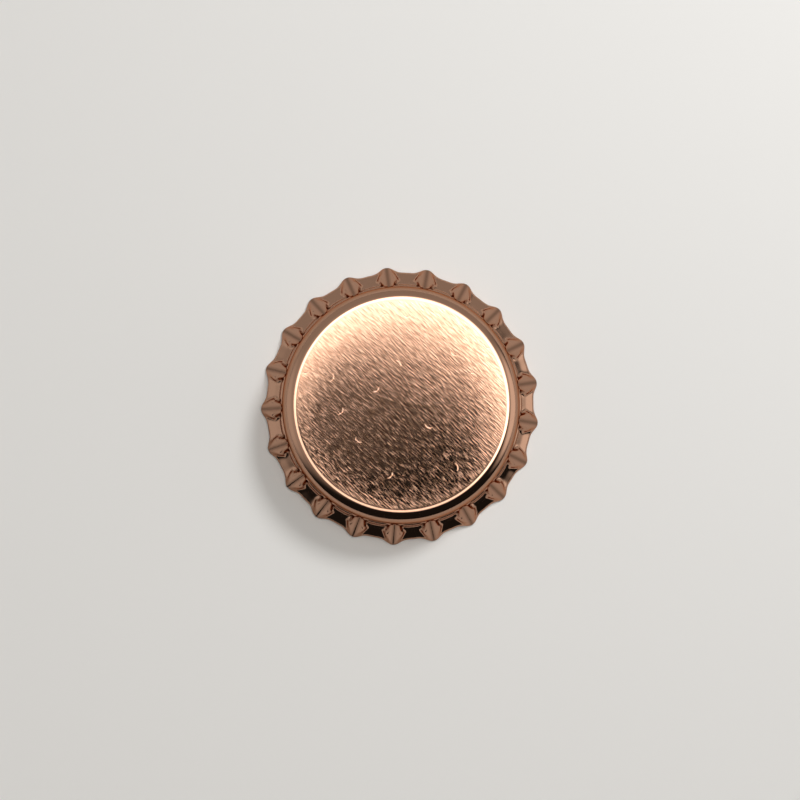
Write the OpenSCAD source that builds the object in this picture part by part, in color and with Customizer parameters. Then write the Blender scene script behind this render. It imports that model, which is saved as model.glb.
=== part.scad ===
// Crown cap for a bottle: a pressed tinplate shell with a fluted skirt, and the moulded
// liner that seals it. The cap stands on the edge of its skirt, as it comes from the press,
// before it is crimped on. Millimetres, +Z up, the origin is the centre of the skirt edge.

/* [Overall] */
// Height from the skirt edge to the middle of the top
height = 6.0; // [5.5:0.05:6.8]
// Radius of the bottle mouth that the cap goes over
mouth_radius = 13.3; // [12.8:0.05:14]
// Play round the bottle mouth before the cap is crimped
mouth_play = 0.075; // [0.05:0.005:0.2]
// Thickness of the sheet, the same all over
sheet = 0.235; // [0.16:0.005:0.28]

/* [Top] */
// Radius of the dome that the top is pressed to
dome_radius = 170; // [120:5:260]
// Radius outside of the rounded corner between the top and the wall
corner_radius = 1.7; // [1.3:0.05:2.2]
// Length of the plain wall between the rounded corner and the skirt
wall_length = 0.58; // [0.4:0.02:0.9]

/* [Flutes] */
// Number of flutes round the skirt
flutes = 21; // [19:1:24]
// How far the crests flare out from the plain wall to the skirt edge
crest_flare = 2.44; // [2.1:0.02:2.8]
// Depth of the troughs between the crests, at the skirt edge
trough_depth = 0.63; // [0.5:0.01:0.8]
// How far outside the plain wall the troughs start
trough_start = 0.24; // [0.15:0.01:0.4]
// Radius of the curve that each trough follows from the wall to the skirt edge
trough_curve = 11; // [8:0.5:20]
// Radius of each trough from side to side
trough_round = 6.3; // [5:0.1:8]

/* [Liner] */
// Gap between the edge of the liner and the plain wall
liner_edge_gap = 0.55; // [0.4:0.05:1]
// Play between the liner and the sheet above it
liner_play = 0.02; // [0.01:0.01:0.1]
// Thickness of the liner's film
liner_film = 0.25; // [0.15:0.01:0.4]
// Distance from the edge of the liner to the middle of the sealing bead
bead_inset = 0.9; // [0.8:0.05:1.5]
// Radius of the rounded sealing bead in section
bead_round = 0.5; // [0.4:0.05:0.7]
// How far the sealing bead stands below the film
bead_depth = 0.45; // [0.2:0.05:0.6]
// Distance between the sealing bead and the smaller ridge inside it
ridge_spacing = 1.4; // [1.2:0.05:2]
// Radius of the smaller ridge in section
ridge_round = 0.3; // [0.2:0.05:0.4]
// How far the smaller ridge stands below the film
ridge_depth = 0.22; // [0.1:0.02:0.3]
// How far the land outside the sealing bead stands below the film
land_depth = 0.25; // [0.15:0.05:0.4]

/* [Hidden] */
$fn = 96;
// The dome is wide and nearly flat, so its circle is drawn finer than the rest
DOME_FN = 720;
TINPLATE = [0.72, 0.47, 0.36];
LINER_WHITE = [0.88, 0.88, 0.86];
// Wheels and profiles reach past the faces they cut by this much
over = 1;
// Each wheel has this share of its flute's angle; the rest is left for the crest
WHEEL_SHARE = 0.96;
bore_radius = mouth_radius + mouth_play;
wall_radius = bore_radius + sheet;
crest_radius = wall_radius + crest_flare;
trough_radius = crest_radius - trough_depth;
// The rounded corner's centre, which touches the dome and the wall
corner_r = wall_radius - corner_radius;
dome_z = height - dome_radius;
corner_z = dome_z + sqrt(pow(dome_radius - corner_radius, 2) - pow(corner_r, 2));
neck_z = corner_z - wall_length;
// Angle of the crests away from upright
crest_angle = atan(crest_flare / neck_z);
// The trough runs from the line of the crests, close to the wall, to the skirt edge
trough_top_r = wall_radius + trough_start;
trough_top_z = neck_z * (crest_radius - trough_top_r) / crest_flare;
trough_chord = norm([trough_radius - trough_top_r, trough_top_z]);
trough_angle = atan((trough_radius - trough_top_r) / trough_top_z);
wheel_reach = sqrt(pow(trough_curve, 2) - pow(trough_chord / 2, 2));
wheel_r = (trough_radius + trough_top_r) / 2 + wheel_reach * cos(trough_angle);
wheel_z = trough_top_z / 2 + wheel_reach * sin(trough_angle);
// The liner lies against the inside of the top, with a little play
liner_inset = sheet + liner_play;
liner_radius = bore_radius - liner_edge_gap;
bead_r = liner_radius - bead_inset;
ridge_r = bead_r - ridge_spacing;
film_dome = dome_radius - liner_inset - liner_film;

// Height of the film's underside at a radius
function film_z(r) = dome_z + sqrt(pow(film_dome, 2) - pow(r, 2));

// Half section of the space under a skin that lies inward of the outside by an inset.
// It has the domed top, the rounded corner, the plain wall and the flared skirt.
module form_section(inset) {
  wall = wall_radius - inset;
  edge = crest_radius - inset / cos(crest_angle);
  slope = crest_flare / neck_z;
  turn_z = (edge - wall) / slope;
  drop = inset > 0 ? over : 0;
  intersection() {
    translate([0, dome_z])
      circle(r = dome_radius - inset, $fn = DOME_FN);
    union() {
      translate([corner_r, corner_z])
        circle(r = corner_radius - inset);
      translate([0, corner_z])
        square([corner_r, height]);
      polygon([[0, -drop], [edge + drop * slope, -drop], [wall, turn_z], [wall, corner_z], [0, corner_z]]);
    }
    translate([0, -over])
      square([2 * crest_radius, height + 2 * over]);
  }
}

// A wedge that holds one wheel clear of the next, from below the edge up to the neck
module wheel_space() {
  reach = 2 * crest_radius;
  side = reach * tan(WHEEL_SHARE * 180 / flutes);
  translate([0, 0, -over])
    linear_extrude(height = neck_z + over)
      polygon([[0, 0], [reach, -side], [reach, side]]);
}

// One wheel that presses a trough, at the +X side
module trough_wheel(inset) {
  intersection() {
    translate([wheel_r, 0, wheel_z])
      rotate([90, 0, 0])
        rotate_extrude()
          translate([trough_curve - trough_round, 0])
            difference() {
              circle(r = trough_round + inset);
              translate([-2 * trough_round, -2 * trough_round])
                square([2 * trough_round, 4 * trough_round]);
            }
    wheel_space();
  }
}

// The fluted form, either the outside of the cap or the hollow inside it
module fluted_form(inset) {
  pitch = 360 / flutes;
  difference() {
    rotate_extrude()
      form_section(inset);
    for (i = [0 : flutes - 1])
      rotate([0, 0, (i + 0.5) * pitch])
        trough_wheel(inset);
  }
}

// The pressed tinplate cap
module shell() {
  color(TINPLATE)
    difference() {
      fluted_form(0);
      fluted_form(sheet);
    }
}

// Half section of a rounded ring under the film, up into the film
module ring_section(r, round, depth) {
  low = film_z(r) - depth;
  translate([r, low + round])
    circle(r = round);
  translate([r - round, low + round])
    square([2 * round, height]);
}

// Half section of the moulded liner
module liner_section() {
  land_z = film_z(bead_r) - land_depth;
  intersection() {
    form_section(liner_inset);
    union() {
      difference() {
        translate([0, corner_z])
          square([liner_radius, height]);
        translate([0, dome_z])
          circle(r = film_dome, $fn = DOME_FN);
      }
      ring_section(bead_r, bead_round, bead_depth);
      ring_section(ridge_r, ridge_round, ridge_depth);
      translate([bead_r, land_z])
        square([liner_radius - bead_r, height]);
    }
  }
}

// The moulded liner, with its sealing bead, that lies under the top
module liner() {
  color(LINER_WHITE)
    rotate_extrude()
      liner_section();
}

shell();
liner();
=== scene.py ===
# %% [markdown]
# # A crown cap for a bottle
#
# The object is a new crown cap: a disc of tinplate, pressed to a low dome with a rounded
# corner and a flaring skirt of 21 flutes, with a moulded liner under the top that makes the
# seal. It has not been crimped on a bottle yet, and it stands on the edge of its skirt.
#
# The solid model already has both pieces at their real size. Here they are made again with
# the detail that a hand and an eye would find: soft presses, a rounded cut edge, the grain
# of the sheet, its lacquer and a few small scuffs. Blender counts in metres, so a length in
# millimetres is multiplied by MM on its way there. The press lines are drawn in plain
# millimetres first.

import math

import bpy
from mathutils import Matrix, Vector


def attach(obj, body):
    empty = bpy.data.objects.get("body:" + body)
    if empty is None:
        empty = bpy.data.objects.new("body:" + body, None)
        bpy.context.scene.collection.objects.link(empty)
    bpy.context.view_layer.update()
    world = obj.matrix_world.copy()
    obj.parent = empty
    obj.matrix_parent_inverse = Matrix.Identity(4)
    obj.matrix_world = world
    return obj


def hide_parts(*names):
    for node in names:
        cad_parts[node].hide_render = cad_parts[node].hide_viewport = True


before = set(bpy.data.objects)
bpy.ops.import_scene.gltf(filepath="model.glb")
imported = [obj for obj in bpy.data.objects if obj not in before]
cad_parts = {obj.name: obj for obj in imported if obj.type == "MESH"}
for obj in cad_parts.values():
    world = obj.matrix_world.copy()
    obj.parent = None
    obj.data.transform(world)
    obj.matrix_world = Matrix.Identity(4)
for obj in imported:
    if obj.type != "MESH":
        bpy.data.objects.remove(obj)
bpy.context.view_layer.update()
print("nodes:", sorted(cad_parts))

MM = 0.001

# %% [markdown]
# ## Two small helpers
#
# Colours are chosen as sRGB hex values, the way a colour picker shows them, but a shader
# counts in linear light. One function turns the one into the other. The other helper adds
# a node, sets it up and links it, so that a whole material or geometry tree reads as a list.

# %% Colour and node helpers
def linear(hex_colour):
    """An sRGB hex colour as linear red, green, blue and alpha."""
    parts = [int(hex_colour[i : i + 2], 16) / 255 for i in (1, 3, 5)]
    curve = [c / 12.92 if c <= 0.04045 else ((c + 0.055) / 1.055) ** 2.4 for c in parts]
    return (*curve, 1.0)


def add(tree, kind, inputs=None, **settings):
    """Adds a node, sets its properties, and gives each input a value or a link.

    A node given as an input is linked from its first output."""
    node = tree.nodes.new(kind)
    for name, value in settings.items():
        setattr(node, name, value)
    for key, value in (inputs or {}).items():
        if isinstance(value, bpy.types.Node):
            value = value.outputs[0]
        if isinstance(value, bpy.types.NodeSocket):
            tree.links.new(value, node.inputs[key])
        else:
            node.inputs[key].default_value = value
    return node


print("copper in linear light:", [round(c, 3) for c in linear("#E3B096")[:3]])

# %% [markdown]
# ## Camera
#
# The cap is seen from almost straight above, with a long lens, so that its circle stays a
# circle. The camera leans under three degrees off the axis. The view's right-hand side is
# turned a little against the cap's own X axis, which passes through a crest.

# %% The view's own directions
TURN = math.radians(-9.9)
RIGHT = (math.cos(TURN), math.sin(TURN), 0.0)
UP = (-math.sin(TURN), math.cos(TURN), 0.0)


def in_view(right, up, height):
    """A point given along the view's right and up directions, and in height."""
    level = [right * r + up * u for r, u in zip(RIGHT, UP)]
    return (level[0], level[1], level[2] + height)


def sky_direction(toward_right, toward_up):
    """A unit direction that leans from straight up by two angles in degrees."""
    lean = in_view(math.tan(math.radians(toward_right)), math.tan(math.radians(toward_up)), 1.0)
    length = math.sqrt(sum(c * c for c in lean))
    return tuple(c / length for c in lean)


print("the view's right-hand side:", [round(c, 3) for c in RIGHT])

# %% Camera, in metres and degrees, with its sensor in millimetres
DISTANCE = 0.55
VIEW_WIDTH = 92.28 * MM
SENSOR = 36.0
AIM_UP = 0.70 * MM
# How far the camera leans off the axis, toward the view's right and up
LENS_LEAN = (-1.7, -1.85)

aim = Vector(in_view(0.0, AIM_UP, 0.0))
back = Vector(sky_direction(*LENS_LEAN))
side = (Vector(RIGHT) - back * Vector(RIGHT).dot(back)).normalized()
top = back.cross(side)
lens = bpy.data.cameras.new("camera")
lens.sensor_width = SENSOR
lens.lens = SENSOR * DISTANCE / VIEW_WIDTH
lens.clip_start = 0.01
camera = bpy.data.objects.new("camera", lens)
turned_to = Matrix((side, top, back)).transposed().to_4x4()
camera.matrix_world = Matrix.Translation(aim + back * DISTANCE) @ turned_to
bpy.context.scene.collection.objects.link(camera)
bpy.context.scene.camera = camera
print("lens", round(lens.lens, 1), "mm, camera at", [round(c, 4) for c in camera.location])

# %% [markdown]
# ## Light tent and floor
#
# Bright metal shows what is around it more than it shows itself. A cap like this is lit in
# a light tent: a wide soft panel overhead, leaning to the upper right, a dimmer panel on the
# right, a faint one on the left, dim walls far off to the left, and darkness low down on the
# near side. The lens looks in through a gap in the overhead panel, and the cap's top mirrors
# that gap as a soft dark patch. A bright hoop stands round the gap, and the edge of the top
# mirrors it as a thin bright ring. The world shader paints this tent by direction, as a few
# round panels with soft edges, which gives the same light as real panels with less noise.
#
# Matt things get only a small share of the tent's light. The rest of theirs comes from one
# soft window light at the upper right, which gives the cap its shadow. Neither the camera
# nor the metal sees that light. What the camera sees past the floor is plain and pale.

# %% The tent's panels
# The middle of the top mirrors this direction to the lens
MIRRORED = (-LENS_LEAN[0], -LENS_LEAN[1])
# name, lean to the right, lean up, full inside this angle, gone outside this angle, brightness
# All angles are in degrees
PANELS = [
    ("overhead", 8.0, 9.5, 19.0, 31.0, 2.88),
    ("right side", 66.0, 0.0, 14.0, 34.0, 1.38),
    ("left side", -68.0, -5.0, 12.0, 34.0, 0.30),
    ("far walls", -62.0, 73.0, 70.0, 100.0, 0.52),
    ("gap for the lens", -0.3, -6.5, 10.0, 21.0, -3.26),
    ("hoop round the gap", *MIRRORED, 24.0, 31.0, 2.20),
    ("inside the hoop", *MIRRORED, 13.0, 15.0, -2.20),
]
# What is left where there is no panel; no panel takes the tent below it
GLOW = 0.02

world = bpy.data.worlds.new("light tent")
world.use_nodes = True
tent = world.node_tree
tent.nodes.clear()
direction = add(tent, "ShaderNodeTexCoord").outputs["Generated"]
total = GLOW
for name, lean_right, lean_up, full, gone, brightness in PANELS:
    toward = sky_direction(lean_right, lean_up)
    dot = add(tent, "ShaderNodeVectorMath", {0: direction, 1: toward}, operation="DOT_PRODUCT")
    angle = add(tent, "ShaderNodeMath", {0: dot.outputs["Value"]}, operation="ARCCOSINE")
    limits = {"From Min": math.radians(full), "From Max": math.radians(gone)}
    panel = {"Value": angle, **limits, "To Min": 1.0, "To Max": 0.0}
    patch = add(tent, "ShaderNodeMapRange", panel, interpolation_type="SMOOTHSTEP")
    total = add(tent, "ShaderNodeMath", {0: patch, 1: brightness, 2: total}, operation="MULTIPLY_ADD")
    total = add(tent, "ShaderNodeMath", {0: total, 1: GLOW}, operation="MAXIMUM")
    print("panel:", name, brightness)

# %% What metal, matt things and the camera get of the tent
TENT_ON_MATT = 0.2
TENT_WHITE = "#FFFCF7"
PLAIN_BACKGROUND = "#F2F2F0"

matt = add(tent, "ShaderNodeLightPath").outputs["Is Diffuse Ray"]
matt_share = {0: matt, 1: TENT_ON_MATT - 1.0, 2: 1.0}
scale = add(tent, "ShaderNodeMath", matt_share, operation="MULTIPLY_ADD")
strength = add(tent, "ShaderNodeMath", {0: total, 1: scale}, operation="MULTIPLY")
lit = add(tent, "ShaderNodeBackground", {"Color": linear(TENT_WHITE), "Strength": strength})
plain = add(tent, "ShaderNodeBackground", {"Color": linear(PLAIN_BACKGROUND), "Strength": 1.0})
seen = add(tent, "ShaderNodeLightPath").outputs["Is Camera Ray"]
mixed = add(tent, "ShaderNodeMixShader", {0: seen, 1: lit, 2: plain})
add(tent, "ShaderNodeOutputWorld", {"Surface": mixed})
bpy.context.scene.world = world
bpy.context.scene.view_settings.view_transform = "Standard"
print("matt things get", TENT_ON_MATT, "of the tent's light")

# %% The window light, in degrees, metres and watts
WINDOW_LEAN = (38.0, 42.0)
WINDOW_DISTANCE = 0.3
WINDOW_WIDTH = 0.08
WINDOW_POWER = 0.47

window = bpy.data.lights.new("window light", "AREA")
window.shape = "DISK"
window.size = WINDOW_WIDTH
window.energy = WINDOW_POWER
window_lamp = bpy.data.objects.new("window light", window)
toward_window = Vector(sky_direction(*WINDOW_LEAN))
facing_cap = toward_window.to_track_quat("Z", "Y").to_matrix().to_4x4()
window_lamp.matrix_world = Matrix.Translation(toward_window * WINDOW_DISTANCE) @ facing_cap
window_lamp.visible_camera = False
window_lamp.visible_glossy = False
bpy.context.scene.collection.objects.link(window_lamp)
print("window light", window.energy, "W from", [round(c, 2) for c in toward_window])

# %% [markdown]
# The floor is a sheet of matt white card. Matt card spreads light evenly and has no gloss,
# so only the cap's soft shadow shows on it.

# %% The floor
FLOOR_HALF = 0.6

corners = [(x * FLOOR_HALF, y * FLOOR_HALF, 0.0) for x, y in ((-1, -1), (1, -1), (1, 1), (-1, 1))]
floor_mesh = bpy.data.meshes.new("floor")
floor_mesh.from_pydata(corners, [], [(0, 1, 2, 3)])
floor = bpy.data.objects.new("floor", floor_mesh)
bpy.context.scene.collection.objects.link(floor)
paper = bpy.data.materials.new("matt white card")
paper.use_nodes = True
paper_tree = paper.node_tree
paper_tree.nodes.clear()
card = add(paper_tree, "ShaderNodeBsdfDiffuse", {"Color": linear("#F5F4F2")})
add(paper_tree, "ShaderNodeOutputMaterial", {"Surface": card})
floor_mesh.materials.append(paper)
print("floor", 2 * FLOOR_HALF, "m wide")

# %% [markdown]
# ## The lines of the press
#
# A crown cap's shell is one sheet. The press gives it two outlines, cut through the axis:
# one along a crest and one along a trough. They share the dome, the rounded corner and the
# short plain wall, and part at the neck. Below it the crest has a short steep root and then
# runs out at a slant to the skirt's edge. The trough turns out over a soft rim, drops down
# a steep wall, flares out along a sloping shelf, and turns down again at its lip. Each line
# gets the same number of points in each part, so that the two can be blended row by row.

# %% Sizes of the pressed shell in millimetres, the same as the solid model's
HEIGHT = 6.0
SHEET = 0.235
WALL_R = 13.61
DOME_R = 170.0
CORNER_R = 1.7
CREST_R = 16.05
TROUGH_R = 15.42
NECK_Z = 3.30
FLUTES = 21
# The cut edge is square to the sheet, so its outer corner stands a little off the table
EDGE_Z = 0.180

DOME_Z = HEIGHT - DOME_R
CORNER_C = WALL_R - CORNER_R
CORNER_Z = DOME_Z + math.sqrt((DOME_R - CORNER_R) ** 2 - CORNER_C**2)
DOME_EDGE = math.atan2(CORNER_Z - DOME_Z, CORNER_C)
print("the corner's centre:", round(CORNER_C, 3), round(CORNER_Z, 3), "mm")


# %% Two helpers that draw a line
def rounded(points, radii, steps):
    """A line through the points with each inner corner rounded to its radius."""
    line = [points[0]]
    for before, corner, after, radius in zip(points, points[1:], points[2:], radii):
        a = (Vector(before) - Vector(corner)).normalized()
        b = (Vector(after) - Vector(corner)).normalized()
        half_angle = a.angle(b) / 2
        reach = radius / math.tan(half_angle)
        centre = Vector(corner) + (a + b).normalized() * radius / math.sin(half_angle)
        start = Vector(corner) + a * reach - centre
        stop = Vector(corner) + b * reach - centre
        turn = math.atan2(start.cross(stop), start.dot(stop))
        for i in range(steps + 1):
            angle = turn * i / steps
            c, s = math.cos(angle), math.sin(angle)
            line.append((centre.x + start.x * c - start.y * s, centre.y + start.x * s + start.y * c))
    return line + [points[-1]]


def resampled(line, fractions):
    """Points at the given fractions of a line's length."""
    close = 1e-12
    lengths = [0.0]
    for p, q in zip(line, line[1:]):
        lengths.append(lengths[-1] + math.dist(p, q))
    made = []
    for f in fractions:
        at = min(max(f, 0.0), 1.0) * lengths[-1]
        k = next((i for i in range(1, len(lengths)) if lengths[i] >= at - close), len(lengths) - 1)
        t = (at - lengths[k - 1]) / (lengths[k] - lengths[k - 1])
        made.append(tuple(p + (q - p) * t for p, q in zip(line[k - 1], line[k])))
    return made


print("a square corner rounded in two steps:", len(rounded([(0, 0), (2, 0), (2, 2)], [1], 2)), "points")

# %% The shared upper line, from the middle of the top to the wall
# The dome's rings, as shares of the way out to the corner
DOME_RINGS = (0.0, 0.04, 0.3, 0.65, 1.0)
CORNER_STEPS = 12

dome_angles = [(math.pi / 2 - DOME_EDGE) * share for share in DOME_RINGS]
upper = [(DOME_R * math.sin(a), DOME_Z + DOME_R * math.cos(a)) for a in dome_angles]
corner_angles = [DOME_EDGE * (1 - i / CORNER_STEPS) for i in range(1, CORNER_STEPS + 1)]
upper += [(CORNER_C + CORNER_R * math.cos(a), CORNER_Z + CORNER_R * math.sin(a)) for a in corner_angles]
print("upper line has", len(upper), "points and ends at", [round(c, 3) for c in upper[-1]])

# %% The crest line and the trough line below it
# Radius and height of each corner that a line turns at
CREST_ROOT = (13.78, 2.78)
TROUGH_RIM = (13.85, 3.12)
TROUGH_FOOT = (13.94, 1.42)
TROUGH_BEND = (14.62, 0.80)
TROUGH_LIP = (15.24, 0.40)
# How softly each line turns, at the neck first and then at each of its corners
CREST_ROUNDS = [0.30, 0.60]
TROUGH_ROUNDS = [0.18, 0.22, 0.30, 2.5, 0.20]
ROUND_STEPS = 8
# Rows crowd where the trough line bends: up to this share of its length, this many rows
SPANS = [(0.10, 2), (0.235, 13), (0.53, 6), (0.62, 6), (0.90, 7), (1.0, 8)]

wall_and_neck = [(WALL_R, CORNER_Z), (WALL_R, NECK_Z)]
trough_turns = [TROUGH_RIM, TROUGH_FOOT, TROUGH_BEND, TROUGH_LIP]
crest = rounded([*wall_and_neck, CREST_ROOT, (CREST_R, EDGE_Z)], CREST_ROUNDS, ROUND_STEPS)
trough = rounded([*wall_and_neck, *trough_turns, (TROUGH_R, EDGE_Z)], TROUGH_ROUNDS, ROUND_STEPS)
ROWS = []
for until, rows in SPANS:
    since = ROWS[-1] if ROWS else 0.0
    ROWS += [since + (until - since) * (i + 1) / rows for i in range(rows)]
crest_line = upper + resampled(crest, ROWS)
trough_line = upper + resampled(trough, ROWS)
print("each press line has", len(crest_line), "points")

# %% [markdown]
# ## The fluted skin
#
# All 21 flutes follow one rule, so Geometry Nodes make them: the tree lays out a grid,
# one row for each point of the press lines and a few dozen columns for each flute, and wraps
# it round the axis. A cosine of the angle tells crest from trough. Near the neck the change
# between them is made abrupt, as the punch's corners are, and it softens to the gentle
# wave of the cut edge.
#
# Two small dents pinch the sheet beside the root of every crest. They are placed by their
# distance from the axis, because the sheet is nearly upright there. A groove starts at the
# root, runs down the middle of the crest, and gets shallower toward the tip. The tree also
# stores how deep each place lies in a dent or a groove, and the finish paints shade there.

# %% Press lines as meshes that the tree can read
def line_mesh(name, line, how_far_down):
    """A line in millimetres as a mesh, with how far down the skirt each point lies."""
    mesh = bpy.data.meshes.new(name)
    steps = [(i, i + 1) for i in range(len(line) - 1)]
    mesh.from_pydata([(r * MM, 0.0, z * MM) for r, z in line], steps, [])
    down = mesh.attributes.new("down", "FLOAT", "POINT")
    for i in range(len(line)):
        down.data[i].value = how_far_down[i]
    thing = bpy.data.objects.new(name, mesh)
    bpy.context.scene.collection.objects.link(thing)
    return thing


down_skirt = [0.0] * len(upper) + ROWS
crest_guide = line_mesh("crest_guide", crest_line, down_skirt)
trough_guide = line_mesh("trough_guide", trough_line, down_skirt)
print("guides:", crest_guide.name, trough_guide.name)

# %% The tree's named inputs
flute_tree = bpy.data.node_groups.new("fluted skin", "GeometryNodeTree")
for name, kind in (
    ("Crest line", "NodeSocketObject"),
    ("Trough line", "NodeSocketObject"),
    ("Rows", "NodeSocketInt"),
    ("Flutes", "NodeSocketInt"),
    ("Steps in a flute", "NodeSocketInt"),
    ("Crest crowding", "NodeSocketFloat"),
    ("Root place", "NodeSocketFloat"),
    ("Root sharpness", "NodeSocketFloat"),
    ("Belly sharpness", "NodeSocketFloat"),
    ("Belly place", "NodeSocketFloat"),
    ("Edge sharpness", "NodeSocketFloat"),
    ("Squareness", "NodeSocketFloat"),
    ("Square until", "NodeSocketFloat"),
    ("Groove depth", "NodeSocketFloat"),
    ("Groove width", "NodeSocketFloat"),
    ("Groove starts", "NodeSocketFloat"),
    ("Groove is full", "NodeSocketFloat"),
    ("Groove fades from", "NodeSocketFloat"),
    ("Groove at the tip", "NodeSocketFloat"),
    # How strongly the finish paints shade along the groove
    ("Groove shade", "NodeSocketFloat"),
    ("Dent depth", "NodeSocketFloat"),
    ("Dent angle", "NodeSocketFloat"),
    ("Dent place", "NodeSocketFloat"),
    ("Dent width", "NodeSocketFloat"),
    ("Dent length", "NodeSocketFloat"),
    ("Skin", "NodeSocketMaterial"),
):
    flute_tree.interface.new_socket(name, in_out="INPUT", socket_type=kind)
flute_tree.interface.new_socket("Geometry", in_out="OUTPUT", socket_type="NodeSocketGeometry")
given = add(flute_tree, "NodeGroupInput").outputs
print("the tree takes", len(flute_tree.interface.items_tree) - 1, "inputs")

# %% The grid: rows follow the press lines, and columns go round the axis
columns_of = {0: given["Flutes"], 1: given["Steps in a flute"]}
columns = add(flute_tree, "ShaderNodeMath", columns_of, operation="MULTIPLY")
around = add(flute_tree, "ShaderNodeMath", {0: columns, 1: 1.0}, operation="ADD")
grid = add(flute_tree, "GeometryNodeMeshGrid", {"Vertices X": given["Rows"], "Vertices Y": around})
index = add(flute_tree, "GeometryNodeInputIndex")
half_on = add(flute_tree, "ShaderNodeMath", {0: index, 1: 0.5}, operation="ADD")
row_part = add(flute_tree, "ShaderNodeMath", {0: half_on, 1: around}, operation="DIVIDE")
row = add(flute_tree, "ShaderNodeMath", {0: row_part}, operation="FLOOR")
row_start = add(flute_tree, "ShaderNodeMath", {0: row, 1: around}, operation="MULTIPLY")
column = add(flute_tree, "ShaderNodeMath", {0: index, 1: row_start}, operation="SUBTRACT")
share = add(flute_tree, "ShaderNodeMath", {0: column, 1: columns}, operation="DIVIDE")
even = add(flute_tree, "ShaderNodeMath", {0: share, 1: 2 * math.pi}, operation="MULTIPLY")

# Columns crowd toward the crests, where the shape is finest
even_turns = add(flute_tree, "ShaderNodeMath", {0: even, 1: given["Flutes"]}, operation="MULTIPLY")
lean = add(flute_tree, "ShaderNodeMath", {0: even_turns}, operation="SINE")
crowding = {0: given["Crest crowding"], 1: given["Flutes"]}
crowd = add(flute_tree, "ShaderNodeMath", crowding, operation="DIVIDE")
shift = add(flute_tree, "ShaderNodeMath", {0: lean, 1: crowd}, operation="MULTIPLY")
angle = add(flute_tree, "ShaderNodeMath", {0: even, 1: shift}, operation="SUBTRACT")
print("grid:", len(flute_tree.nodes), "nodes so far")

# %% Each row reads its point on both press lines, and how far down the skirt it is
position = add(flute_tree, "GeometryNodeInputPosition").outputs[0]
stored = add(flute_tree, "GeometryNodeInputNamedAttribute", {"Name": "down"}, data_type="FLOAT")
down_value = stored.outputs[0]
crest_in = add(flute_tree, "GeometryNodeObjectInfo", {"Object": given["Crest line"]})
trough_in = add(flute_tree, "GeometryNodeObjectInfo", {"Object": given["Trough line"]})
on_crest = add(flute_tree, "GeometryNodeSampleIndex", data_type="FLOAT_VECTOR")
on_trough = add(flute_tree, "GeometryNodeSampleIndex", data_type="FLOAT_VECTOR")
down = add(flute_tree, "GeometryNodeSampleIndex", data_type="FLOAT")
readings = ((on_crest, crest_in, position), (on_trough, trough_in, position), (down, crest_in, down_value))
for reader, guide, what in readings:
    flute_tree.links.new(guide.outputs["Geometry"], reader.inputs["Geometry"])
    flute_tree.links.new(what, reader.inputs["Value"])
    flute_tree.links.new(row.outputs[0], reader.inputs["Index"])
print("readers:", len(readings))

# %% The wave of the flutes: one on a crest and zero in a trough
turns = add(flute_tree, "ShaderNodeMath", {0: angle, 1: given["Flutes"]}, operation="MULTIPLY")
ripple = add(flute_tree, "ShaderNodeMath", {0: turns}, operation="COSINE")
wave = add(flute_tree, "ShaderNodeMath", {0: ripple, 1: 0.5, 2: 0.5}, operation="MULTIPLY_ADD")

# A sharper wave has narrower crests: sharpest at the root, least at the belly
root_to_belly = {
    "Value": down,
    "From Min": given["Root place"],
    "From Max": given["Belly place"],
    "To Min": given["Root sharpness"],
    "To Max": given["Belly sharpness"],
}
upper_part = add(flute_tree, "ShaderNodeMapRange", root_to_belly, interpolation_type="SMOOTHSTEP")
belly_to_edge = {
    "Value": down,
    "From Min": given["Belly place"],
    "From Max": 1.0,
    "To Min": upper_part,
    "To Max": given["Edge sharpness"],
}
sharpness = add(flute_tree, "ShaderNodeMapRange", belly_to_edge, interpolation_type="SMOOTHSTEP")
swell = add(flute_tree, "ShaderNodeMath", {0: wave, 1: sharpness}, operation="POWER")

# A squarer wave changes more abruptly from crest to trough
squarer = {
    "Value": down,
    "From Min": given["Square until"],
    "From Max": 1.0,
    "To Min": given["Squareness"],
    "To Max": 1.0,
}
squareness = add(flute_tree, "ShaderNodeMapRange", squarer, interpolation_type="SMOOTHSTEP")
high = add(flute_tree, "ShaderNodeMath", {0: swell, 1: squareness}, operation="POWER")
rest = add(flute_tree, "ShaderNodeMath", {0: 1.0, 1: swell}, operation="SUBTRACT")
low = add(flute_tree, "ShaderNodeMath", {0: rest, 1: squareness}, operation="POWER")
both = add(flute_tree, "ShaderNodeMath", {0: high, 1: low}, operation="ADD")
crestness = add(flute_tree, "ShaderNodeMath", {0: high, 1: both}, operation="DIVIDE")
between = {0: crestness, 4: on_trough, 5: on_crest}
blend = add(flute_tree, "ShaderNodeMix", between, data_type="VECTOR").outputs[1]
profile = add(flute_tree, "ShaderNodeSeparateXYZ", {0: blend}).outputs
print("wave:", len(flute_tree.nodes), "nodes so far")

# %% The two dents beside each crest's root push the skin toward the axis
pitch = add(flute_tree, "ShaderNodeMath", {0: math.pi, 1: given["Flutes"]}, operation="DIVIDE")
from_crest = add(flute_tree, "ShaderNodeMath", {0: angle, 1: pitch}, operation="PINGPONG")
off_angle = {0: from_crest, 1: given["Dent angle"]}
off_dent = add(flute_tree, "ShaderNodeMath", off_angle, operation="SUBTRACT")
arc = add(flute_tree, "ShaderNodeMath", {0: off_dent, 1: profile["X"]}, operation="MULTIPLY")
aside = add(flute_tree, "ShaderNodeMath", {0: arc, 1: given["Dent width"]}, operation="DIVIDE")
off_radius = {0: profile["X"], 1: given["Dent place"]}
off_place = add(flute_tree, "ShaderNodeMath", off_radius, operation="SUBTRACT")
along = add(flute_tree, "ShaderNodeMath", {0: off_place, 1: given["Dent length"]}, operation="DIVIDE")
aside_squared = add(flute_tree, "ShaderNodeMath", {0: aside, 1: aside}, operation="MULTIPLY")
squares = {0: along, 1: along, 2: aside_squared}
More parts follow.
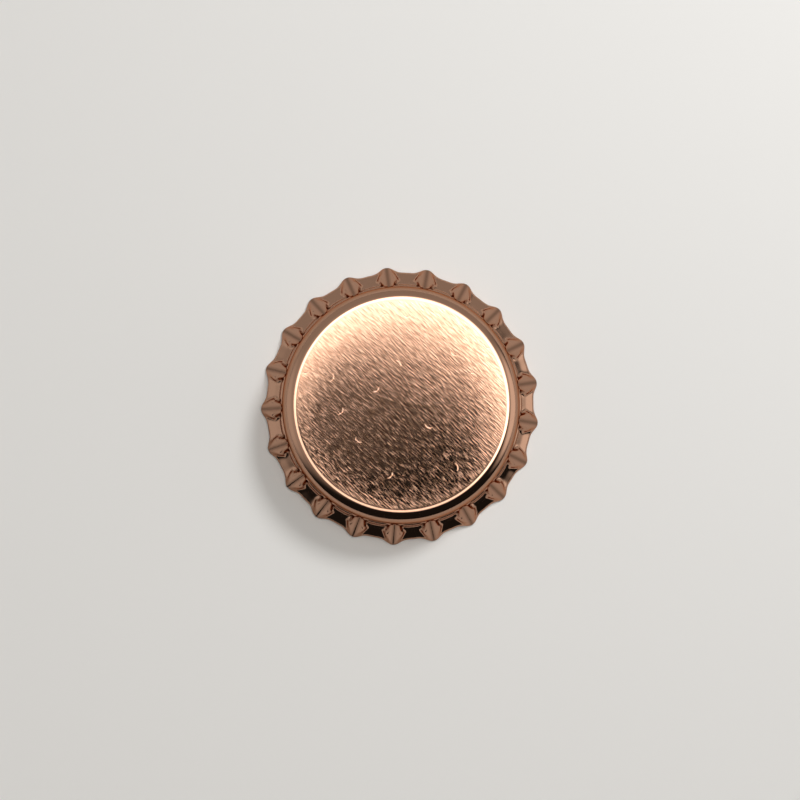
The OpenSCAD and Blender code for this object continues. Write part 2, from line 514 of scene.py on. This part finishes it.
away = add(flute_tree, "ShaderNodeMath", squares, operation="MULTIPLY_ADD")
minus = add(flute_tree, "ShaderNodeMath", {0: away, 1: -1.0}, operation="MULTIPLY")
bell = add(flute_tree, "ShaderNodeMath", {0: minus}, operation="EXPONENT")
dent = add(flute_tree, "ShaderNodeMath", {0: given["Dent depth"], 1: bell}, operation="MULTIPLY")
dented = add(flute_tree, "ShaderNodeMath", {0: profile["X"], 1: dent}, operation="SUBTRACT")
print("dents:", len(flute_tree.nodes), "nodes so far")

# %% The groove down the middle of each crest, from its root to near its tip
off_middle = add(flute_tree, "ShaderNodeMath", {0: from_crest, 1: profile["X"]}, operation="MULTIPLY")
part = add(flute_tree, "ShaderNodeMath", {0: off_middle, 1: given["Groove width"]}, operation="DIVIDE")
part_squared = add(flute_tree, "ShaderNodeMath", {0: part, 1: part}, operation="MULTIPLY")
minus_part = add(flute_tree, "ShaderNodeMath", {0: part_squared, 1: -1.0}, operation="MULTIPLY")
valley = add(flute_tree, "ShaderNodeMath", {0: minus_part}, operation="EXPONENT")
starting = {"Value": down, "From Min": given["Groove starts"], "From Max": given["Groove is full"]}
begin = add(flute_tree, "ShaderNodeMapRange", starting, interpolation_type="SMOOTHSTEP")
fading = {
    "Value": down,
    "From Min": given["Groove fades from"],
    "From Max": 1.0,
    "To Min": 1.0,
    "To Max": given["Groove at the tip"],
}
end = add(flute_tree, "ShaderNodeMapRange", fading)
ends = add(flute_tree, "ShaderNodeMath", {0: begin, 1: end}, operation="MULTIPLY")
deep = add(flute_tree, "ShaderNodeMath", {0: given["Groove depth"], 1: ends}, operation="MULTIPLY")
groove = add(flute_tree, "ShaderNodeMath", {0: valley, 1: deep}, operation="MULTIPLY")
radius = add(flute_tree, "ShaderNodeMath", {0: dented, 1: groove}, operation="SUBTRACT")

# How deep a place lies in a dent or a groove, for the finish's painted shade
in_groove = add(flute_tree, "ShaderNodeMath", {0: valley, 1: begin}, operation="MULTIPLY")
shading = {0: in_groove, 1: given["Groove shade"]}
groove_shade_share = add(flute_tree, "ShaderNodeMath", shading, operation="MULTIPLY")
fold = add(flute_tree, "ShaderNodeMath", {0: bell, 1: groove_shade_share}, operation="MAXIMUM")
print("groove:", len(flute_tree.nodes), "nodes so far")

# %% Wrap the grid round the axis, and close its seam and its pole
WELD = 0.0005 * MM

sine = add(flute_tree, "ShaderNodeMath", {0: angle}, operation="SINE")
cosine = add(flute_tree, "ShaderNodeMath", {0: angle}, operation="COSINE")
x = add(flute_tree, "ShaderNodeMath", {0: radius, 1: cosine}, operation="MULTIPLY")
y = add(flute_tree, "ShaderNodeMath", {0: radius, 1: sine}, operation="MULTIPLY")
place = add(flute_tree, "ShaderNodeCombineXYZ", {"X": x, "Y": y, "Z": profile["Z"]})
wrapped = add(flute_tree, "GeometryNodeSetPosition", {"Geometry": grid, "Position": place})
marks_crease_shade = {"Geometry": wrapped, "Name": "fold", "Value": fold}
on_points = {"data_type": "FLOAT", "domain": "POINT"}
marked = add(flute_tree, "GeometryNodeStoreNamedAttribute", marks_crease_shade, **on_points)
closed = add(flute_tree, "GeometryNodeMergeByDistance", {"Geometry": marked, "Distance": WELD})

# Only the skirt's own edge has faces on one side, so it alone gets the bevel's weight
faces_at = add(flute_tree, "GeometryNodeInputMeshEdgeNeighbors")
at_rim = add(flute_tree, "ShaderNodeMath", {0: faces_at, 1: 1.5}, operation="LESS_THAN")
marks_rim = {"Geometry": closed, "Name": "bevel_weight_edge", "Value": at_rim}
on_edges = {"data_type": "FLOAT", "domain": "EDGE"}
weighed = add(flute_tree, "GeometryNodeStoreNamedAttribute", marks_rim, **on_edges)
smooth = add(flute_tree, "GeometryNodeSetShadeSmooth", {"Geometry": weighed})
real = add(flute_tree, "GeometryNodeRealizeInstances", {"Geometry": smooth})
in_skin = {"Geometry": real, "Material": given["Skin"]}
skinned = add(flute_tree, "GeometryNodeSetMaterial", in_skin)
add(flute_tree, "NodeGroupOutput", {"Geometry": skinned})
print("the tree has", len(flute_tree.nodes), "nodes")

# %% [markdown]
# ## From skin to shell
#
# The tree runs as a modifier. Its inputs are set by their identifiers. A Solidify modifier
# then gives the skin its wall, inwards, the same thickness all over as in a real pressing.
# A Bevel takes the sharpness off the cut edge, and the weight that the tree stored keeps it
# there, off the folds of the skirt. The result is kept as a plain mesh.

# %% Run a tree on an empty mesh and keep the result
def grown(name, tree, values, *modifiers):
    """A plain mesh object made by a geometry tree and then some modifiers."""
    seed = bpy.data.objects.new(name + "_seed", bpy.data.meshes.new(name + "_seed"))
    for _ in ("outside", "cut edge", "inside"):
        seed.data.materials.append(None)
    bpy.context.scene.collection.objects.link(seed)
    modifier = seed.modifiers.new("rule", "NODES")
    modifier.node_group = tree
    for item in tree.interface.items_tree:
        if item.in_out == "INPUT":
            modifier[item.identifier] = values[item.name]
    for kind, settings in modifiers:
        extra = seed.modifiers.new(kind.lower(), kind)
        for key, value in settings.items():
            setattr(extra, key, value)
    graph = bpy.context.evaluated_depsgraph_get()
    mesh = bpy.data.meshes.new_from_object(seed.evaluated_get(graph))
    bpy.data.objects.remove(seed)
    mesh.name = name
    thing = bpy.data.objects.new(name, mesh)
    bpy.context.scene.collection.objects.link(thing)
    triangles = sum(len(p.vertices) - 2 for p in mesh.polygons)
    print(name, len(mesh.vertices), "points,", triangles, "triangles")
    return thing


# %% Press the shell
# Where something starts, fades or lies is a share of the way from the rounded corner down to
# the skirt's edge. Only the dent's place is a radius.
SHELL_SIZES = {
    "Crest line": crest_guide,
    "Trough line": trough_guide,
    "Rows": len(crest_line),
    "Flutes": FLUTES,
    "Steps in a flute": 36,
    "Crest crowding": 0.5,
    "Root place": 0.18,
    "Root sharpness": 4.2,
    "Belly sharpness": 1.0,
    "Belly place": 0.68,
    "Edge sharpness": 2.25,
    "Squareness": 5.0,
    "Square until": 0.5,
    "Groove depth": 0.38 * MM,
    "Groove width": 0.28 * MM,
    "Groove starts": 0.15,
    "Groove is full": 0.28,
    "Groove fades from": 0.27,
    "Groove at the tip": 0.05,
    # How much painted shade lies along the groove
    "Groove shade": 0.52,
    "Dent depth": 0.16 * MM,
    "Dent angle": math.radians(3.5),
    "Dent place": 13.95 * MM,
    "Dent width": 0.20 * MM,
    "Dent length": 0.16 * MM,
    "Skin": None,
}
wall = {"thickness": SHEET * MM, "offset": -1.0, "material_offset": 2, "material_offset_rim": 1}
edge = {"width": 0.05 * MM, "segments": 3, "limit_method": "WEIGHT"}
shell = grown("shell_pressed", flute_tree, SHELL_SIZES, ("SOLIDIFY", wall), ("BEVEL", edge))
print("material slots used:", sorted({p.material_index for p in shell.data.polygons}))

# %% [markdown]
# ## The outside: stone-finished tinplate under rose-gold lacquer
#
# Tinplate is thin steel with a tin skin. Rolling leaves it with a stone finish, a grain of
# fine short lines all in one direction, and a tinted clear lacquer over it gives the rose
# gold. The colour is the metal's own reflection, so the shader is fully metallic with a
# thin coat. The grain is a stretched noise that tilts the surface by a degree or two: it
# shows as streaks only where the tent's light changes. A noise gives it because real grain
# has no repeat. It is laid on flat coordinates, as the sheet was flat when it was rolled.
# It fades at the rounded corner, where the press drew the sheet smooth, and only a little
# of it is left on the skirt.
#
# Real grain is a few hundredths of a millimetre wide, and so is a real scratch. Both are
# too fine to show in the render, so they are drawn as coarse as they need to show.

# %% Grain along the sheet
GRAIN_TURN = math.radians(126.8)


def grain_noise(tree, place, length, width, detail):
    """Streaks of a real length and width in metres, along the sheet's grain."""
    laid = add(
        tree,
        "ShaderNodeMapping",
        {"Vector": place, "Rotation": (0.0, 0.0, GRAIN_TURN), "Scale": (length, width, 1.0)},
        vector_type="TEXTURE",
    )
    streaks = {"Vector": laid, "Scale": 1.0, "Detail": detail, "Roughness": 0.6}
    return add(tree, "ShaderNodeTexNoise", streaks)


print("the grain is turned", round(math.degrees(GRAIN_TURN), 1), "degrees from X")


# %% A few scratches, one to a cell, each with its own turn and bend
def scratches(tree, place, cell, length, width, bend, share):
    """One on a fine curved scratch and zero off it. Only a share of the cells has one."""
    layout = {"Vector": place, "Scale": 1.0 / cell}
    cells = add(tree, "ShaderNodeTexVoronoi", layout, voronoi_dimensions="2D")
    chance = add(tree, "ShaderNodeSeparateColor", {"Color": cells.outputs["Color"]})
    whole_turn = {0: chance.outputs["Red"], 1: 2 * math.pi}
    spin = add(tree, "ShaderNodeMath", whole_turn, operation="MULTIPLY")
    from_middle = {0: place, 1: cells.outputs["Position"]}
    local = add(tree, "ShaderNodeVectorMath", from_middle, operation="SUBTRACT")
    spun = {"Vector": local, "Angle": spin}
    turned = add(tree, "ShaderNodeVectorRotate", spun, rotation_type="Z_AXIS")
    axes = add(tree, "ShaderNodeSeparateXYZ", {0: turned})
    run = add(tree, "ShaderNodeMath", {0: axes.outputs["X"]}, operation="ABSOLUTE")
    bow = add(tree, "ShaderNodeMath", {0: run, 1: run}, operation="MULTIPLY")
    bent = add(tree, "ShaderNodeMath", {0: bow, 1: bend, 2: axes.outputs["Y"]}, operation="MULTIPLY_ADD")
    off = add(tree, "ShaderNodeMath", {0: bent}, operation="ABSOLUTE")
    across = {"Value": off, "From Min": width * 0.3, "From Max": width, "To Min": 1.0, "To Max": 0.0}
    line = add(tree, "ShaderNodeMapRange", across, interpolation_type="SMOOTHSTEP")
    ends = {"Value": run, "From Min": length * 0.3, "From Max": length * 0.5, "To Min": 1.0, "To Max": 0.0}
    stroke = add(tree, "ShaderNodeMapRange", ends, interpolation_type="SMOOTHSTEP")
    drawn = add(tree, "ShaderNodeMath", {0: chance.outputs["Green"], 1: share}, operation="LESS_THAN")
    shape = add(tree, "ShaderNodeMath", {0: line, 1: stroke}, operation="MULTIPLY")
    return add(tree, "ShaderNodeMath", {0: shape, 1: drawn}, operation="MULTIPLY")


def new_finish(name):
    """An empty node material."""
    finish = bpy.data.materials.new(name)
    finish.use_nodes = True
    finish.node_tree.nodes.clear()
    return finish, finish.node_tree


lacquered, t = new_finish("rose-gold lacquered tinplate")
print("finish:", lacquered.name)

# %% The tinplate's relief: two grains, slow waves in the sheet, and the scratches
LONG_GRAIN = (1.2 * MM, 0.20 * MM)
SHORT_GRAIN = (0.9 * MM, 0.14 * MM)
WAVE_SIZE = 2.2 * MM
GRAIN_ENDS = (11.75 * MM, 12.05 * MM)
GRAIN_LEFT = 0.12
SCRATCH = {"cell": 4.2 * MM, "length": 1.1 * MM, "width": 0.08 * MM, "bend": 1 / (1.0 * MM), "share": 0.5}
RELIEF_DEPTH = 0.008 * MM

place = add(t, "ShaderNodeTexCoord").outputs["Object"]
long_grain = grain_noise(t, place, *LONG_GRAIN, 1.0)
short_grain = grain_noise(t, place, *SHORT_GRAIN, 1.0)
level = add(t, "ShaderNodeVectorMath", {0: place, 1: (1.0, 1.0, 0.0)}, operation="MULTIPLY")
from_axis = add(t, "ShaderNodeVectorMath", {0: level}, operation="LENGTH").outputs["Value"]
fades = {"Value": from_axis, "From Min": GRAIN_ENDS[0], "From Max": GRAIN_ENDS[1]}
flat = add(t, "ShaderNodeMapRange", {**fades, "To Min": 1.0, "To Max": GRAIN_LEFT})
waves = add(t, "ShaderNodeTexNoise", {"Vector": place, "Scale": 1 / WAVE_SIZE, "Detail": 1.0})
marks = scratches(t, place, **SCRATCH)
grain = add(t, "ShaderNodeMath", {0: short_grain, 1: 0.7, 2: long_grain}, operation="MULTIPLY_ADD")
wavy = add(t, "ShaderNodeMath", {0: waves, 1: 1.2, 2: grain}, operation="MULTIPLY_ADD")
pressed = add(t, "ShaderNodeMath", {0: marks, 1: -0.6, 2: wavy}, operation="MULTIPLY_ADD")
relief = add(t, "ShaderNodeBump", {"Height": pressed, "Strength": flat, "Distance": RELIEF_DEPTH})
print("relief:", len(t.nodes), "nodes so far")

# %% The lacquer's tint: streaked on the top, plain on the skirt, with painted shade on the skirt and in the dents and grooves
CLOUD_SIZE = 5.0 * MM
SKIRT_SHADE_FROM = (12.3 * MM, 12.6 * MM)
PALE_TINTS = ("#D4A88E", "#DBB097")
DEEP_TINTS = ("#AF846C", "#B78D75")
# Painted shade: the skirt has the same lacquer as the top, and this darker tint stands in for the shaded
# floor near the cap that the skirt mirrors
SKIRT_SHADED_TINT = "#AC8670"
# Painted shade: the dents and the middle of each groove are darkened toward this tint
CREASE_SHADE_TINT = "#2A1A12"

cloud = add(t, "ShaderNodeTexNoise", {"Vector": place, "Scale": 1 / CLOUD_SIZE, "Detail": 2.0})
contrast = {"Value": long_grain, "From Min": 0.35, "From Max": 0.65, "To Min": -0.5, "To Max": 0.5}
band = add(t, "ShaderNodeMapRange", contrast)
streak = add(t, "ShaderNodeMath", {0: band, 1: flat, 2: 0.5}, operation="MULTIPLY_ADD")
pale_clouds = {0: cloud, 6: linear(PALE_TINTS[0]), 7: linear(PALE_TINTS[1])}
pale = add(t, "ShaderNodeMix", pale_clouds, data_type="RGBA").outputs[2]
deep_clouds = {0: cloud, 6: linear(DEEP_TINTS[0]), 7: linear(DEEP_TINTS[1])}
deep = add(t, "ShaderNodeMix", deep_clouds, data_type="RGBA").outputs[2]
streaked = add(t, "ShaderNodeMix", {0: streak, 6: deep, 7: pale}, data_type="RGBA").outputs[2]
# Painted shade: past the rounded corner the sheet turns to the darker skirt tint
on_skirt = {"Value": from_axis, "From Min": SKIRT_SHADE_FROM[0], "From Max": SKIRT_SHADE_FROM[1]}
drawn = add(t, "ShaderNodeMapRange", on_skirt)
skirt_shade_over = {0: drawn, 6: streaked, 7: linear(SKIRT_SHADED_TINT)}
tint_with_skirt_shade = add(t, "ShaderNodeMix", skirt_shade_over, data_type="RGBA").outputs[2]
# Painted shade in the dents and grooves, by how deep the tree says they lie
depth = add(t, "ShaderNodeAttribute", attribute_name="fold").outputs["Fac"]
in_crease_shade = {"Value": depth, "From Min": 0.05, "From Max": 0.9, "To Max": 0.95}
fold = add(t, "ShaderNodeMapRange", in_crease_shade)
tint = add(t, "ShaderNodeMix", {0: fold, 6: tint_with_skirt_shade, 7: linear(CREASE_SHADE_TINT)}, data_type="RGBA")
print("tint:", len(t.nodes), "nodes so far")

# %% The lacquer's gloss: a little duller along the grain and on the scratches
GLOSSIEST = 0.07
GRAIN_DULLS = 0.16
SCRATCH_DULLS = 0.15

fine = {"Value": short_grain, "From Min": 0.42, "From Max": 0.70, "To Min": 0.0, "To Max": GRAIN_DULLS}
grainy = add(t, "ShaderNodeMapRange", fine)
dull = add(t, "ShaderNodeMath", {0: grainy, 1: flat, 2: GLOSSIEST}, operation="MULTIPLY_ADD")
duller = add(t, "ShaderNodeMath", {0: marks, 1: SCRATCH_DULLS, 2: dull}, operation="MULTIPLY_ADD")
# The specular tint keeps the metal rosy where it is seen at a low angle
under_coat = {
    "Base Color": tint.outputs[2],
    "Metallic": 1.0,
    "Roughness": duller,
    "Normal": relief,
    "Specular Tint": linear("#C98F76"),
    "Coat Weight": 0.10,
    "Coat Roughness": 0.08,
}
metal = add(t, "ShaderNodeBsdfPrincipled", under_coat)
add(t, "ShaderNodeOutputMaterial", {"Surface": metal})
print(lacquered.name, len(t.nodes), "nodes")

# %% [markdown]
# ## The cut edge and the inside
#
# The blanking die shears the sheet, so its edge is bare steel with fine marks across it.
# The inside is the same sheet under a clear lacquer with only a breath of gold, which
# keeps the drink from the metal. Its grain is the other face of the same rolling. The marks
# of the cut and this grain are drawn as coarse as they need to show.

# %% Sheared steel edge
SHEAR_SIZE = 0.15 * MM
BURR_DEPTH = 0.01 * MM
STEEL_TINTS = ("#A79C93", "#CFC6BD")

sheared, t = new_finish("sheared steel edge")
place = add(t, "ShaderNodeTexCoord").outputs["Object"]
shear = add(t, "ShaderNodeTexNoise", {"Vector": place, "Scale": 1 / SHEAR_SIZE, "Detail": 2.0})
burr = add(t, "ShaderNodeBump", {"Height": shear, "Strength": 0.6, "Distance": BURR_DEPTH})
steel_marks = {0: shear, 6: linear(STEEL_TINTS[0]), 7: linear(STEEL_TINTS[1])}
steel = add(t, "ShaderNodeMix", steel_marks, data_type="RGBA")
cut = {"Base Color": steel.outputs[2], "Metallic": 1.0, "Roughness": 0.38, "Normal": burr}
add(t, "ShaderNodeOutputMaterial", {"Surface": add(t, "ShaderNodeBsdfPrincipled", cut)})
print(sheared.name, len(t.nodes), "nodes")

# %% Clear-lacquered tinplate
INSIDE_GRAIN = (1.8 * MM, 0.18 * MM)
INSIDE_DEPTH = 0.003 * MM
LACQUER_FILM = 4.0 * MM
GOLD_TINTS = ("#CDBE9F", "#D9CDB2")

inside, t = new_finish("clear-lacquered tinplate")
place = add(t, "ShaderNodeTexCoord").outputs["Object"]
grain = grain_noise(t, place, *INSIDE_GRAIN, 2.0)
relief = add(t, "ShaderNodeBump", {"Height": grain, "Strength": 1.0, "Distance": INSIDE_DEPTH})
satin = {"Value": grain, "From Min": 0.3, "From Max": 0.7, "To Min": 0.2, "To Max": 0.32}
dull = add(t, "ShaderNodeMapRange", satin)
film = add(t, "ShaderNodeTexNoise", {"Vector": place, "Scale": 1 / LACQUER_FILM, "Detail": 2.0})
gold_film = {0: film, 6: linear(GOLD_TINTS[0]), 7: linear(GOLD_TINTS[1])}
gold = add(t, "ShaderNodeMix", gold_film, data_type="RGBA")
clear = {
    "Base Color": gold.outputs[2],
    "Metallic": 1.0,
    "Roughness": dull,
    "Normal": relief,
    "Coat Weight": 0.2,
    "Coat Roughness": 0.1,
}
add(t, "ShaderNodeOutputMaterial", {"Surface": add(t, "ShaderNodeBsdfPrincipled", clear)})

shell.data.materials.clear()
for finish in (lacquered, sheared, inside):
    shell.data.materials.append(finish)
print("shell finishes:", [m.name for m in shell.data.materials])

# %% [markdown]
# ## The liner
#
# A soft polymer liner is moulded straight into the cap: a thin film under the top, a small
# ridge, and a fat bead near the corner that the bottle's lip presses into. It is a turned
# shape, so the flute tree makes it too: with the same line for crest and trough, and with no
# groove or dent, the flutes vanish and a plain turning is left. Its line starts and ends on the axis. It runs
# from the middle of the top outwards and back under the film, as the shell's own line runs
# from the top down, because that makes the faces point outwards.

# %% The underside of the liner's half section
PLAY = 0.02
FILM = 0.25
LINER_R = 12.825
# radius, depth below the film, and radius of the rounding there
UNDERSIDE = [
    (0.0, -0.05, 0.0),
    (1.9, -0.05, 0.05),
    (2.05, 0.0, 0.1),
    (5.0, 0.0, 0.5),
    (8.0, 0.0, 0.5),
    (10.05, 0.0, 0.15),
    (10.32, 0.22, 0.14),
    (10.73, 0.22, 0.14),
    (11.0, 0.02, 0.15),
    (11.32, 0.02, 0.12),
    (11.52, 0.45, 0.28),
    (12.30, 0.45, 0.22),
    (12.42, 0.26, 0.08),
    (LINER_R, 0.25, 0.10),
]
inner_dome = DOME_R - SHEET - PLAY


def under_film(r):
    """Height of the film's underside at a radius."""
    return DOME_Z + math.sqrt((inner_dome - FILM) ** 2 - r * r)


low_side = [(r, under_film(r) - depth) for r, depth, _ in UNDERSIDE]
print("film's underside at the middle:", round(under_film(0.0), 3), "mm up")

# %% The liner's upper side, a little clear of the sheet, and the whole line
TURN_STEPS = 6
TOP_RINGS = (10.0, 7.0, 4.0, 2.0, 0.0)
UNDERSIDE_STEPS = 5

tight = CORNER_R - SHEET - PLAY
rim_angle = math.acos((LINER_R - CORNER_C) / tight)
turn_angles = [rim_angle + (DOME_EDGE - rim_angle) * i / TURN_STEPS for i in range(TURN_STEPS + 1)]
high_side = [(CORNER_C + tight * math.cos(a), CORNER_Z + tight * math.sin(a)) for a in turn_angles]
high_side += [(r, DOME_Z + math.sqrt(inner_dome**2 - r * r)) for r in TOP_RINGS]
rounds = [rounding for *_, rounding in UNDERSIDE[1:]]
turned = rounded(low_side + high_side[:1], rounds, UNDERSIDE_STEPS)[:-1]
liner_line = (turned + high_side)[::-1]
print("liner line has", len(liner_line), "points")

# %% Grow the liner
liner_guide = line_mesh("liner_guide", liner_line, [0.0] * len(liner_line))
LINER_SIZES = {
    **SHELL_SIZES,
    "Crest line": liner_guide,
    "Trough line": liner_guide,
    "Rows": len(liner_line),
    "Steps in a flute": 10,
    "Groove depth": 0.0,
    "Dent depth": 0.0,
}
liner = grown("liner_moulded", flute_tree, LINER_SIZES)
for guide in (crest_guide, trough_guide, liner_guide):
    bpy.data.objects.remove(guide)

# %% [markdown]
# ## The liner's polymer
#
# The compound is a soft, off-white polyolefin, a little see-through, so light sinks in
# and comes out softened. The mould was turned on a lathe, and its tool marks are faint
# rings about the axis: a noise of the radius alone makes them. Real tool marks are finer,
# and the rings are drawn as coarse as they need to show.

# %% Moulded liner compound
RING_WIDTH = 0.25 * MM
PEBBLE_SIZE = 0.3 * MM
SKIN_DEPTH = 0.006 * MM
MILKY_TINTS = ("#DEDCD4", "#EAE8E1")

compound, t = new_finish("moulded polyolefin liner")
place = add(t, "ShaderNodeTexCoord").outputs["Object"]
level = add(t, "ShaderNodeVectorMath", {0: place, 1: (1.0, 1.0, 0.0)}, operation="MULTIPLY")
from_axis = add(t, "ShaderNodeVectorMath", {0: level}, operation="LENGTH").outputs["Value"]
by_radius = {"W": from_axis, "Scale": 1 / RING_WIDTH, "Detail": 2.0}
rings = add(t, "ShaderNodeTexNoise", by_radius, noise_dimensions="1D")
pebble = add(t, "ShaderNodeTexNoise", {"Vector": place, "Scale": 1 / PEBBLE_SIZE, "Detail": 2.0})
skin_height = add(t, "ShaderNodeMath", {0: pebble, 1: 0.5, 2: rings}, operation="MULTIPLY_ADD")
skin = add(t, "ShaderNodeBump", {"Height": skin_height, "Strength": 0.6, "Distance": SKIN_DEPTH})
milky_clouds = {0: pebble, 6: linear(MILKY_TINTS[0]), 7: linear(MILKY_TINTS[1])}
milky = add(t, "ShaderNodeMix", milky_clouds, data_type="RGBA")
ring_gloss = {"Value": rings, "From Min": 0.3, "From Max": 0.7, "To Min": 0.34, "To Max": 0.5}
sheen = add(t, "ShaderNodeMapRange", ring_gloss)
soft = {
    "Base Color": milky.outputs[2],
    "Roughness": sheen,
    "IOR": 1.5,
    "Normal": skin,
    "Subsurface Weight": 0.25,
    "Subsurface Radius": (1.0, 0.9, 0.8),
    "Subsurface Scale": 0.4 * MM,
}
add(t, "ShaderNodeOutputMaterial", {"Surface": add(t, "ShaderNodeBsdfPrincipled", soft)})
liner.data.materials.clear()
liner.data.materials.append(compound)
print("liner finish:", compound.name)

# %% [markdown]
# ## Attach the pieces to the body
#
# Both pieces are rigid and belong to the one body. Each stands in for the solid of the
# same name.

# %% Ride and replace
for piece, node, slot in ((shell, "shell", "tinplate"), (liner, "liner", "liner")):
    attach(piece, "root")
    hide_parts(node)
